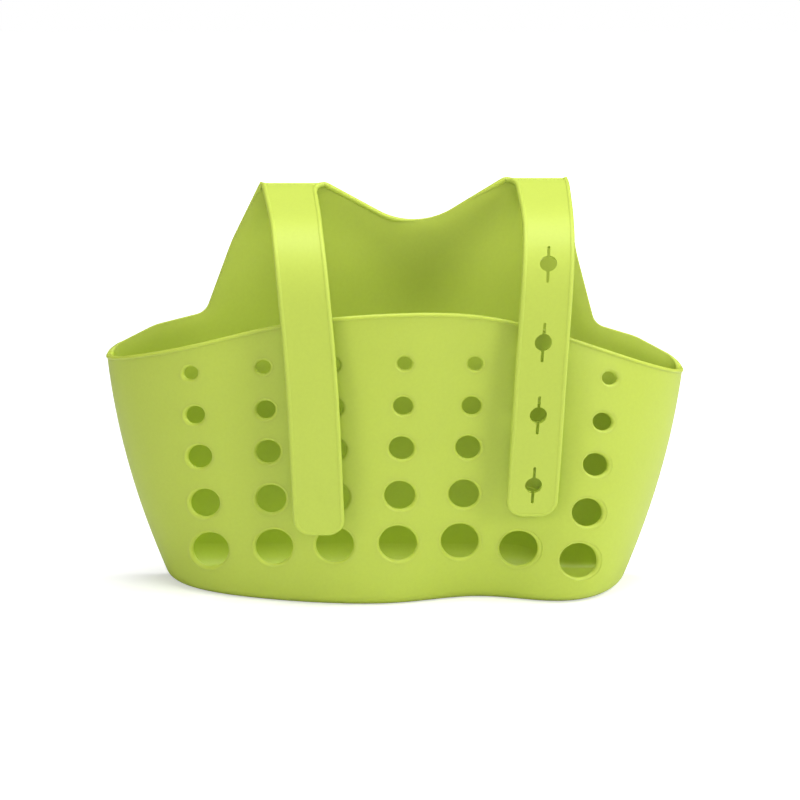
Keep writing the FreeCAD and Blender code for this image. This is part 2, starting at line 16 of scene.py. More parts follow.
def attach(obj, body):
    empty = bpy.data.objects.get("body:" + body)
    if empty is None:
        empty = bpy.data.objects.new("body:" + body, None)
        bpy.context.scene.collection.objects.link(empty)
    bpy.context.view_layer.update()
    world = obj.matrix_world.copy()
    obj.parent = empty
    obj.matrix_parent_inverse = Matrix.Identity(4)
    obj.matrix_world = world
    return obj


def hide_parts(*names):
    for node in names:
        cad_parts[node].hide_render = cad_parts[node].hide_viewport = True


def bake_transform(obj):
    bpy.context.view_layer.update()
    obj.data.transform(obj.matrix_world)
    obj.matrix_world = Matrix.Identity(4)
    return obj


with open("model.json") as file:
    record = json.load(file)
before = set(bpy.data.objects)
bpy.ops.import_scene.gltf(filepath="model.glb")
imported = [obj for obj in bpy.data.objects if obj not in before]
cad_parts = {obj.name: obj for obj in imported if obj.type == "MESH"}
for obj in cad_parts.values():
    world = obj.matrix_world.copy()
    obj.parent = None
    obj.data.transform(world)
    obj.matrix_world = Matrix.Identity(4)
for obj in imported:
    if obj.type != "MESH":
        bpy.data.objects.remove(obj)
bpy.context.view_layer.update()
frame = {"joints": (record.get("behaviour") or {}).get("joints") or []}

MM = 0.001
JOINTS = {joint["name"]: np.array(joint["pos_m"]) / MM for joint in frame["joints"]}

# Pouch
RIM_HALF_WIDTH = 102.5
RIM_HEIGHTS = [82.0, 91.2, 99.9, 103.4, 101.1, 90.8, 76.9]
RIM_TOP = max(RIM_HEIGHTS)
RIM_ENDS = (RIM_HEIGHTS[0] + RIM_HEIGHTS[-1]) / 2
BASE_HALF_WIDTH = 81.2
RIM_DEPTH = 53.0
BASE_DEPTH = 43.0
SIDE_BULGE = 0.61
FRONT_BULGE = 0.5
REAR_FACE = 23.0
CORNER = 5.0
LINE = REAR_FACE - CORNER
WALL = 2.2
FLOOR = 2.5
BASE_ROUND = 3.5
FLOOR_FILLET = 2.5
FOOT = FLOOR + FLOOR_FILLET
# Swells of the front wall: place, width, how far out at the base and at the rim
SWELLS = [(-48.0, 15.0, -0.5, -3.0), (29.7, 23.4, -11.3, -4.0), (82.3, 33.6, 25.1, 0.0)]

# Back panel
HORN_CENTRE = {side: JOINTS[f"{side}_crease_fold"][0] for side in ("left", "right")}
CREASE_Z = {side: JOINTS[f"{side}_crease_fold"][2] for side in ("left", "right")}
CREASE_Y = JOINTS["left_crease_fold"][1]
CREASE_WIDTH = 19.4
FOLD_RADIUS = 1.2
HORN_TOP = {side: height + 0.8 for side, height in CREASE_Z.items()}
CREST = {side: height - 1.5 for side, height in CREASE_Z.items()}
CREST_TAPER = 4.0
INNER_MARGIN = 3.8
OUTER_MARGIN = {"left": 0.3, "right": -0.6}
# Its outline beside each horn: end, bend, foot and flank of the horn
BACK_LINE = {
    "left": [(-97.6, 85.69), (-86.0, 91.6), (-67.9, 96.2), (-58.3, 121.7)],
    "right": [(97.6, 81.21), (86.0, 87.4), (71.3, 91.8), (64.0, 119.0)],
}
BACK_ROUNDS = [0.0, 20.0, 6.0, 60.0]
SADDLE = (7.2, 125.4, 26.0)

# Holes of the front wall: height, diameter, pitch, sway
ROWS = [
    (86.8, 5.0, 24.0, 3.3),
    (72.0, 6.7, 23.42, 2.77),
    (57.2, 8.6, 22.84, 2.24),
    (40.4, 10.6, 22.18, 1.62),
    (23.1, 13.2, 21.5, 1.0),
]
SIDE_COLUMNS = 3
LEFT_PITCH_GAIN = 0.028
ROW_DROOP = 6.2
COLUMN_DROP = 0.25
# Their looks: a little flat, low and pierced downwards, with columns somewhat off their even places
HOLE_SQUASH = 0.93
HOLE_LOWER = 0.5
HOLE_PITCH_DOWN = 0.235
COLUMN_SHIFT = [0.0, 0.8, 0.0, -0.2, 0.6, 0.3, 0.3]
DRAIN_DIAMETER = 9.0
DRAIN_PLACES = [-55.0, -33.0, -11.0, 11.0, 33.0, 55.0]
DRAIN_LINE = REAR_FACE - (BASE_DEPTH + CORNER) / 2

# Straps
STRAP_WIDTH = 17.5
STRAP_WEB = 1.6
STRAP_BEAD = 1.0
FLARE_START = 0.6
FLARE_LENGTH = 9.0
TIP_ROUND = 6.0
STRAP_ROOT = -3.0
BEAD_LEAD = 0.1
SHOULDER_RADIUS = 14.0
# How far the bends of a strap are evened out along it, from where on, and over which rise
SOFTNESS = 16.0
SOFT_START = 4.0
SOFT_RISE = 24.0
# Lean: sideways at the end of the bridge, the middle of the drop and the tip
STRAPS = {
    "left": {
        "bridge": 47.5,
        "slope": 12.0,
        "exit": 82.0,
        "tip": 102.0,
        "drop": 93.8,
        "lean": (4.6, 10.2, 12.0),
    },
    "right": {
        "bridge": 43.5,
        "slope": 13.0,
        "exit": 80.0,
        "tip": 105.0,
        "drop": 91.1,
        "lean": (0.0, -3.1, -5.3),
    },
}
LINKS = ["bridge", "shoulder", "upper", "lower", "tip"]
BEND_REACH = 5.0
FOLD_REACH = 4.0
CUT_PAST_BEND = 5.5
KEYHOLE_PITCH = 25.6
KEYHOLE_FROM_TIP = 12.3
KEYHOLE_RADIUS = 2.9
KEYHOLE_SLIT = 1.0
KEYHOLE_LENGTH = 13.5
# How far each keyhole, from the tip on, looks to be off its even place
KEYHOLE_SHIFT = [0.3, 0.8, 1.45, 0.35]
GROOVE_PLACE = 2.0
GROOVE_WIDTH = 0.55
GROOVE_DEPTH = 0.35
DIMPLE_WIDTH = 2.6
DIMPLE_DEPTH = 0.4
STUD_FROM_TIP = 13.0
STUD_GAP = 0.06
# Radius and height of the stud's outline, from its seat to its top
STUD_PROFILE = [
    (0, 0),
    (5.0, 0),
    (5.0, 0.35),
    (3.2, 0.62),
    (2.75, 0.95),
    (2.7, 2.2),
    (3.3, 2.38),
    (4.0, 2.42),
    (4.2, 2.7),
    (4.1, 3.1),
    (3.5, 3.75),
    (2.4, 4.25),
    (1.2, 4.4),
    (0, 4.42),
]

# Edges: the round of the wall's top is full along the front, the crests and the left of the saddle, where
# it is proud. It is thin along the flanks, where the wall tapers to it. The lip lies outside the front rim
RIM_BEAD = WALL / 2
RIM_SIDES = 16
BACK_BEAD = 0.55
BACK_TAPER = 2.5
SADDLE_FADE = 8.0
CREST_FADE = (2.2, 8.0)
SADDLE_PROUD = 0.3
LIP_BEAD = 0.7
LIP_PROUD = 0.4
RIM_UNDER_CREST = [0.0, 0.2, 0.9]
# Cove where the floor meets the back: radius, ends, and where it starts to run out
COVE = 9.0
COVE_ENDS = (-79.0, 64.0)
COVE_RUN_OUT = 40.0
COVE_STATIONS = 30

# Meshes: spacing of grids, the shares of it between rows and from an edge, steps and counts of points
SPACING = 2.5
ROW_SHARE = 0.866
CLEAR_SHARE = 0.6
PLATE_SPACING = 4.0
SEAM_CLEAR = 0.9
BACK_STEP = 1.3
FRONT_POINTS = 190
FOOT_POINTS = 241
FOOT_TURNS = 7
HOLE_POINTS = 28
HOLE_STEP = 0.9
DRAIN_POINTS = 40
STRAP_STEP = 1.6
STRAP_SPACING = 1.5
ROOT_COLUMNS = 13
FOLD_ROWS = (-1.8, 2.6, 0.2)
THIN_ROW = 0.05
STUD_SIDES = 40
WELD = 2e-7
SAME = 1e-3
HAIR = 1e-6

# Plastic: colours, their mottling, scales and heights in metres of the unevenness, dullness and clearness
BASKET_COLOUR = (0.528, 0.643, 0.080)
STRAP_COLOUR = (0.536, 0.655, 0.088)
MOTTLE = 0.07
BROAD_SCALE = 30.0
SPECK_SCALE = 900.0
GRAIN_SCALE = 3200.0
UNEVEN_SCALE = 90.0
GRAIN_HEIGHT = 0.00006
UNEVEN_HEIGHT = 0.0004
DULL_BROAD = 0.10
DULL_GRAIN = 0.06
SHEEN = 0.4
GLOW_COLOURS = (1.0, 0.9, 0.25)

# Light: name, place, size, power
AMBIENT = 0.02
LIGHT_AIM = (0.0, 0.0, 0.06)
LIGHTS = [
    ("right_front", (1.0, -0.9, 0.5), 0.6, 6.7),
    ("left_front", (-1.0, -0.9, 0.5), 0.6, 4.7),
    ("front", (0.0, -1.2, 0.7), 0.8, 1.2),
    ("overhead", (0.0, -0.1, 1.1), 0.8, 9.5),
    ("right_top", (0.9, 0.0, 0.8), 0.6, 6.2),
]
# Floor: half its size, its paper, the glow that the camera sees, and where and how that rises with distance
FLOOR_REACH = 6.0
PAPER = 0.85
FLOOR_GLOW = 0.45
GLOW_START = 0.3
GLOW_RISE = 0.9

# Camera, fitted to the photo
CAMERA_PLACE = (0.0, -0.8741, 0.22405)
CAMERA_AIM = (0.0, -0.002, 0.07025)
CAMERA_LENS = 113.99
CAMERA_SENSOR = 36.0
CAMERA_SHIFT = (0.0056, -0.0066)


# Flat regions filled with triangles


def inside(spots, loop):
    """Which spots lie inside a closed loop."""
    x, y = spots.T
    result = np.zeros(len(spots), bool)
    for (x0, y0), (x1, y1) in zip(loop, np.roll(loop, -1, 0)):
        if y0 == y1:
            continue
        crosses = (y0 > y) != (y1 > y)
        result ^= crosses & (x < x0 + (y - y0) / (y1 - y0) * (x1 - x0))
    return result


def triangulated(outline, holes, spacing, extra=()):
    """Points and triangles of a flat region with holes, filled by a staggered grid of points."""
    loops = [np.asarray(loop) for loop in [outline, *holes]]
    boundary = np.concatenate(loops)
    edges = []
    start = 0
    for loop in loops:
        count = len(loop)
        edges += [(start + index, start + (index + 1) % count) for index in range(count)]
        start += count
    tree = KDTree(len(boundary))
    for index, (x, y) in enumerate(boundary):
        tree.insert((x, y, 0), index)
    tree.balance()
    low = boundary.min(0)
    high = boundary.max(0)
    inner = [tuple(spot) for spot in extra]
    for row, y in enumerate(np.arange(low[1] + spacing / 2, high[1], spacing * ROW_SHARE)):
        for x in np.arange(low[0] + spacing * (0.5 + 0.5 * (row % 2)), high[0], spacing):
            if tree.find((x, y, 0))[2] > CLEAR_SHARE * spacing:
                inner.append((x, y))
    spots = [Vector(spot) for spot in list(map(tuple, boundary)) + inner]
    found, _, faces, _, _, _ = geometry.delaunay_2d_cdt(spots, edges, [], 0, 1e-7)
    place = np.array([spot[:] for spot in found])
    middle = place[np.array(faces)].mean(1)
    kept = inside(middle, loops[0])
    for loop in loops[1:]:
        kept &= ~inside(middle, loop)
    faces = [tuple(face) for face, keep in zip(faces, kept) if keep]
    used = sorted({index for face in faces for index in face})
    number = {old: new for new, old in enumerate(used)}
    return place[used], [tuple(number[index] for index in face) for face in faces]


def even_grid(left, right, columns):
    """Points and quads of rows that run from a left line to a right line."""
    shares = np.linspace(0, 1, columns)[None, :, None]
    spots = (left[:, None] + (right - left)[:, None] * shares).reshape(-1, 2)
    faces = []
    for row in range(len(left) - 1):
        for column in range(columns - 1):
            corner = row * columns + column
            faces.append((corner, corner + 1, corner + columns + 1, corner + columns))
    return spots, faces


def border(faces):
    """The edges that only one triangle has, in its direction."""
    seen = {}
    for face in faces:
        for first, second in zip(face, face[1:] + face[:1]):
            key = (min(first, second), max(first, second))
            seen[key] = None if key in seen else (first, second)
    return [edge for edge in seen.values() if edge]


def mesh_object(name, points, faces, material, sharp=35.0):
    """A smooth mesh from points in millimetres, with doubled points welded."""
    mesh = bpy.data.meshes.new(name)
    mesh.from_pydata([tuple(spot) for spot in np.asarray(points) * MM], [], faces)
    made = bmesh.new()
    made.from_mesh(mesh)
    bmesh.ops.remove_doubles(made, verts=made.verts, dist=WELD)
    bmesh.ops.recalc_face_normals(made, faces=made.faces)
    made.to_mesh(mesh)
    made.free()
    mesh.shade_smooth()
    mesh.set_sharp_from_angle(angle=math.radians(sharp))
    mesh.materials.append(material)
    thing = bpy.data.objects.new(name, mesh)
    bpy.context.scene.collection.objects.link(thing)
    return thing


# Rolled edges: a round profile carried along loops and lines


def rolled_edge_tree():
    tree = bpy.data.node_groups.new("rolled_edge", "GeometryNodeTree")
    sockets = [
        ("Geometry", "NodeSocketGeometry"),
        ("Edge Radius", "NodeSocketFloat"),
        ("Profile Sides", "NodeSocketInt"),
        ("Finish", "NodeSocketMaterial"),
    ]
    for label, kind in sockets:
        tree.interface.new_socket(label, in_out="INPUT", socket_type=kind)
    tree.interface.new_socket("Geometry", in_out="OUTPUT", socket_type="NodeSocketGeometry")
    given = tree.nodes.new("NodeGroupInput")
    lines = tree.nodes.new("GeometryNodeMeshToCurve")
    share = tree.nodes.new("GeometryNodeInputNamedAttribute")
    share.data_type = "FLOAT"
    share.inputs["Name"].default_value = "share"
    profile = tree.nodes.new("GeometryNodeCurvePrimitiveCircle")
    sweep = tree.nodes.new("GeometryNodeCurveToMesh")
    smooth = tree.nodes.new("GeometryNodeSetShadeSmooth")
    real = tree.nodes.new("GeometryNodeRealizeInstances")
    finish = tree.nodes.new("GeometryNodeSetMaterial")
    result = tree.nodes.new("NodeGroupOutput")
    links = [
        (given.outputs["Geometry"], lines.inputs["Mesh"]),
        (given.outputs["Profile Sides"], profile.inputs["Resolution"]),
        (given.outputs["Edge Radius"], profile.inputs["Radius"]),
        (lines.outputs["Curve"], sweep.inputs["Curve"]),
        (profile.outputs["Curve"], sweep.inputs["Profile Curve"]),
        (share.outputs["Attribute"], sweep.inputs["Scale"]),
        (sweep.outputs["Mesh"], smooth.inputs["Geometry"]),
        (smooth.outputs["Geometry"], real.inputs["Geometry"]),
        (real.outputs["Geometry"], finish.inputs["Geometry"]),
        (given.outputs["Finish"], finish.inputs["Material"]),
        (finish.outputs["Geometry"], result.inputs["Geometry"]),
    ]
    for source, target in links:
        tree.links.new(source, target)
    return tree


def rolled_edges(name, lines, radius, material, sides=12):
    """One mesh of round beads along lines.

    A line has points in millimetres, whether it closes, and it may have shares of the radius at its points.
    """
    points = []
    edges = []
    shares = []
    for line, closed, *share in lines:
        start = len(points)
        shares += list(share[0]) if share else [1.0] * len(line)
        points += [tuple(spot) for spot in np.asarray(line) * MM]
        edges += [(start + index, start + index + 1) for index in range(len(line) - 1)]
        if closed:
            edges.append((start + len(line) - 1, start))
    mesh = bpy.data.meshes.new(f"{name}_lines")
    mesh.from_pydata(points, edges, [])
    mesh.attributes.new("share", "FLOAT", "POINT").data.foreach_set("value", shares)
    guide = bpy.data.objects.new(f"{name}_lines", mesh)
    bpy.context.scene.collection.objects.link(guide)
    rolled = guide.modifiers.new("rolled_edge", "NODES")
    rolled.node_group = ROLLED_EDGE
    inputs = [item for item in ROLLED_EDGE.interface.items_tree if item.in_out == "INPUT"]
    names = {item.name: item.identifier for item in inputs}
    rolled[names["Edge Radius"]] = radius * MM
    rolled[names["Profile Sides"]] = sides
    rolled[names["Finish"]] = material
    shown = guide.evaluated_get(bpy.context.evaluated_depsgraph_get())
    final = bpy.data.meshes.new_from_object(shown)
    final.name = name
    bpy.data.objects.remove(guide)
    thing = bpy.data.objects.new(name, final)
    bpy.context.scene.collection.objects.link(thing)
    return thing


ROLLED_EDGE = rolled_edge_tree()


# Pouch surface


def half_width(z):
    share = z / RIM_ENDS
    return BASE_HALF_WIDTH + (RIM_HALF_WIDTH - BASE_HALF_WIDTH) * (share + SIDE_BULGE * share * (1 - share))


def front_depth(z):
    share = z / RIM_TOP
    return BASE_DEPTH + (RIM_DEPTH - BASE_DEPTH) * (share + FRONT_BULGE * share * (1 - share))


def swell(x, z):
    share = z / RIM_TOP
    total = 0.0
    for place, width, at_base, at_rim in SWELLS:
        total = total + (at_base + (at_rim - at_base) * share) * np.exp(-(((x - place) / width) ** 2))
    return total


class PouchSkin:
    """The pouch wall unrolled: a height, and a distance along its plan from mid back round by the left."""

    def __init__(self):
        reference = 60.0
        self.angles = np.linspace(0, np.pi, 721)
        x = -half_width(reference) * np.cos(self.angles)
        y = LINE - (front_depth(reference) + swell(x, reference)) * np.sin(self.angles)
        self.arc = np.concatenate([[0.0], np.cumsum(np.hypot(np.diff(x), np.diff(y)))])
        self.back = half_width(reference) - CORNER
        self.corner = np.pi / 2 * CORNER
        self.breaks = np.cumsum([self.back, self.corner, self.arc[-1], self.corner, self.back])
        self.length = self.breaks[-1]

    def along_front(self, x, z):
        angle = np.arccos(np.clip(-x / half_width(z), -1, 1))
        return self.breaks[1] + np.interp(angle, self.angles, self.arc)

    def along_back(self, x, z):
        share = np.abs(x) / (half_width(z) - CORNER) * self.back
        return np.where(x <= 0, share, self.length - share)

    def place(self, along, z, inset):
        along, z, inset = np.broadcast_arrays(np.asarray(along, float), z, inset)
        corner = np.maximum(CORNER - inset, 0.3)
        straight = half_width(z) - CORNER
        first, second, third, fourth, last = self.breaks
        x = -straight * along / self.back
        y = LINE + corner
        turn = (along - first) / CORNER
        spot = (along > first) & (along <= second)
        x = np.where(spot, -straight - corner * np.sin(turn), x)
        y = np.where(spot, LINE + corner * np.cos(turn), y)
        angle = np.interp(along - second, self.arc, self.angles)
        front_x = -(straight + corner) * np.cos(angle)
        front_y = LINE - (front_depth(z) - inset + swell(front_x, z)) * np.sin(angle)
        spot = (along > second) & (along <= third)
        x = np.where(spot, front_x, x)
        y = np.where(spot, front_y, y)
        turn = (along - third) / CORNER
        spot = (along > third) & (along <= fourth)
        x = np.where(spot, straight + corner * np.cos(turn), x)
        y = np.where(spot, LINE + corner * np.sin(turn), y)
        spot = along > fourth
        x = np.where(spot, straight * (last - along) / self.back, x)
        return np.stack([x, y, z], -1)


SKIN = PouchSkin()


def smooth_through(places, values):
    """A natural cubic spline through values at even places, as a function."""
    step = places[1] - places[0]
    count = len(places)
    bends = np.zeros(count)
    matrix = np.eye(count - 2) * 4 + np.eye(count - 2, k=1) + np.eye(count - 2, k=-1)
    bends[1:-1] = np.linalg.solve(matrix, 6 * np.diff(values, 2) / step**2)

    def at(x):
        index = np.clip(((x - places[0]) / step).astype(int), 0, count - 2)
        low, high = values[index], values[index + 1]
        share = (x - places[index]) / step
        rest = 1 - share
        curve = (rest**3 - rest) * bends[index] + (share**3 - share) * bends[index + 1]
        return rest * low + share * high + curve * step**2 / 6

    return at


def front_rim():
    """The height of the front rim as a function of X, carried on straight past both ends."""
    line = np.array(RIM_HEIGHTS)
    line = np.concatenate([[2 * line[0] - line[1]], line, [2 * line[-1] - line[-2]]])
    step = 2 * RIM_HALF_WIDTH / (len(RIM_HEIGHTS) - 1)
    return smooth_through((np.arange(len(line)) - 1) * step - RIM_HALF_WIDTH, line)


RIM = front_rim()


def rounded_line(corners, step):
    """A line through corners with roundings, each (x, z, radius), with points about step apart."""
    spots = [np.array(corners[0][:2])]
    for before, here, after in zip(corners, corners[1:], corners[2:]):
        tip = np.array(here[:2])
        radius = here[2]
        if radius == 0:
            spots.append(tip)
            continue
        back = np.array(before[:2]) - tip
        on = np.array(after[:2]) - tip
        back /= np.linalg.norm(back)
        on /= np.linalg.norm(on)
        half = math.acos(np.clip(back @ on, -1, 1)) / 2
        reach = radius / math.tan(half)
        centre = tip + (back + on) / np.linalg.norm(back + on) * radius / math.sin(half)
        first = tip + back * reach - centre
        last = tip + on * reach - centre
        count = max(3, math.ceil(radius * (math.pi - 2 * half) / step))
        sweep = math.atan2(first[0] * last[1] - first[1] * last[0], first @ last)
        for turn in np.linspace(0, sweep, count + 1):
            c, s = math.cos(turn), math.sin(turn)
            spots.append(centre + np.array([first[0] * c - first[1] * s, first[0] * s + first[1] * c]))
    spots.append(np.array(corners[-1][:2]))
    dense = [spots[0]]
    for first, second in zip(spots, spots[1:]):
        count = max(1, round(np.linalg.norm(second - first) / step))
        dense += [first + (second - first) * share for share in np.linspace(0, 1, count + 1)[1:]]
    return np.array(dense)


def back_line():
    """The edge of the back panel from its left end over horns and saddle to its right end."""

    def side_corners(side, sign):
        half = CREASE_WIDTH / 2
        beside = [(*spot, radius) for spot, radius in zip(BACK_LINE[side], BACK_ROUNDS)]
        outer = (HORN_CENTRE[side] + sign * (half + OUTER_MARGIN[side]), HORN_TOP[side], 0)
        inner = (HORN_CENTRE[side] - sign * (half + INNER_MARGIN), HORN_TOP[side], 4.0)
        return beside + [outer, inner]

    return rounded_line(side_corners("left", -1) + [SADDLE] + side_corners("right", 1)[::-1], BACK_STEP)


def rim_line():
    """The whole top edge in the unrolled wall, from the middle of the back round by the left and front."""
    line = back_line()
    crossing = int(np.argmax(line[:, 0] >= 0))
    before, after = line[crossing - 1], line[crossing]
    share = -before[0] / (after[0] - before[0])
    middle = before + (after - before) * share
    clear = np.abs(line[:, 0]) > SEAM_CLEAR
    left = np.vstack([line[:crossing][clear[:crossing]], middle])
    right = np.vstack([[1e-9, middle[1]], line[crossing:][clear[crossing:]]])

    def to_wall(spots):
        return np.column_stack([SKIN.along_back(*spots.T), spots[:, 1]])

    rear_left = to_wall(left)[::-1]
    rear_right = to_wall(right)[::-1]
    rear_left[0, 0] = 0.0
    rear_right[-1, 0] = SKIN.length
    turn = np.linspace(0, np.pi / 2, 6)[1:-1]
    corners = []
    for end, front in ((left[0], RIM_HEIGHTS[0]), (right[-1], RIM_HEIGHTS[-1])):
        corners.append(end[1] + (front - end[1]) * turn / (np.pi / 2))
    left_corner = np.column_stack([SKIN.breaks[0] + CORNER * turn, corners[0]])
    right_corner = np.column_stack([SKIN.breaks[2] + CORNER * turn, corners[1][::-1]])
    along = np.linspace(SKIN.breaks[1], SKIN.breaks[2], FRONT_POINTS)
    angle = np.interp(along - SKIN.breaks[1], SKIN.arc, SKIN.angles)
    # The width of the pouch depends on the height of its rim, so a guess is refined until it rests
    guess = 90.0
    rounds = 12
    height = np.full_like(along, guess)
    for _ in range(rounds):
        height = RIM(-half_width(height) * np.cos(angle))
    front = np.column_stack([along, height])
    return np.vstack([rear_left, left_corner, front, right_corner, rear_right])


def drawn_in(line, distance):
    """A closed line of the unrolled wall moved towards the wall's inside by a distance at each point."""
    lap = np.array([SKIN.length, 0.0])
    tangent = np.gradient(np.vstack([line[-2] - lap, line, line[1] + lap]), axis=0)[1:-1]
    tangent /= np.linalg.norm(tangent, axis=1)[:, None]
    inward = np.column_stack([tangent[:, 1], -tangent[:, 0]])
    moved = line + inward * distance[:, None]
    moved[0] = line[0] - [0.0, distance[0] / abs(tangent[0, 0])]
    moved[-1] = moved[0] + lap
    return moved


def fullness(along, z):
    """How full the round of the top edge is: at front, crests and left of the saddle, not on the flanks."""
    front = np.minimum(along - SKIN.breaks[0], SKIN.breaks[3] - along) / SKIN.corner
    saddle = np.where(along < -HORN_CENTRE["left"], 1.0, 1 - (SKIN.length - along) / SADDLE_FADE)
    crest = (z - by_side(along, HORN_TOP) + CREST_FADE[1]) / (CREST_FADE[1] - CREST_FADE[0])
    return np.clip(np.maximum(np.maximum(front, saddle), crest), 0, 1)


def edge_taper(spots, edge, rounds):
    """How much the wall thins on each face towards the round of its top edge."""
    tree = KDTree(len(edge))
    for index, (along, z) in enumerate(edge):
        tree.insert((along, z, 0), index)
    tree.balance()
    thin = np.zeros(len(spots))
    for index, (along, z) in enumerate(spots):
        _, nearest, away = tree.find((along, z, 0))
        thin[index] = (WALL / 2 - rounds[nearest]) * max(0.0, 1 - away / BACK_TAPER)
    return thin


def by_side(along, heights):
    """The left or right height, by a point's half of the unrolled wall."""
    return np.where(along < SKIN.length / 2, heights["left"], heights["right"])


def thinned(along, z):
    """How much the panel thins on each face towards the creases."""
    share = np.clip((z - (by_side(along, CREST) - CREST_TAPER)) / CREST_TAPER, 0, 1)
    return share * (WALL - STRAP_WEB) / 2


def ring(centre, radius, count):
    turn = np.linspace(0, 2 * np.pi, count, endpoint=False)
    return centre + radius * np.column_stack([np.cos(turn), np.sin(turn)])


def wall_hole_rings(extra):
    """The outlines of the drain holes in the unrolled wall, each larger than its hole by extra."""
    rings = []
    for height, diameter, pitch, sway in ROWS:
        for column in range(-SIDE_COLUMNS, SIDE_COLUMNS + 1):
            x = column * pitch * (1 - math.copysign(LEFT_PITCH_GAIN, column)) + sway
            x += COLUMN_SHIFT[column + SIDE_COLUMNS]
            z = height - ROW_DROOP * (column / SIDE_COLUMNS) ** 2 - COLUMN_DROP * column - HOLE_LOWER
            count = max(HOLE_POINTS, round((diameter + 2 * extra) * np.pi / HOLE_STEP))
            spots = ring(np.zeros(2), diameter / 2, count) * [1.0, HOLE_SQUASH]
            spots = np.array([x, z]) + spots * (1 + 2 * extra / diameter)
            middle = SKIN.place(SKIN.along_front(x, z), z, 0.0)
            laid = SKIN.place(SKIN.along_front(*spots.T), spots[:, 1], 0.0)
            spots[:, 1] -= HOLE_PITCH_DOWN * (laid[:, 1] - middle[1])
            rings.append(np.column_stack([SKIN.along_front(*spots.T), spots[:, 1]]))
    return rings


def cove_piece(material):
    """The hollow round between floor and back, running out before the right end."""
    back = REAR_FACE - WALL
    turn = np.linspace(0, -np.pi / 2, 9)
    points = []
    for x in np.linspace(*COVE_ENDS, COVE_STATIONS):
        share = np.clip((x - COVE_RUN_OUT) / (COVE_ENDS[1] - COVE_RUN_OUT), 0, 1)
        radius = COVE - (COVE - FLOOR_FILLET) * share**2 * (3 - 2 * share)
        arc = [(x, back - radius + radius * np.cos(t), FLOOR + radius + radius * np.sin(t)) for t in turn]
        sunk = FLOOR / 4
        under = FLOOR - sunk
        behind = back + sunk
        points += arc + [(x, back - radius, under), (x, behind, under), (x, behind, FLOOR + radius)]
    around = len(turn) + 3
    count = len(points) // around
    faces = [tuple(range(around))[::-1], tuple(range(len(points) - around, len(points)))]
    for station in range(count - 1):
        for index in range(around):
            first, second = station * around + index, station * around + (index + 1) % around
            faces.append((first, second, second + around, first + around))
    return mesh_object("basket_cove", np.array(points), faces, material)


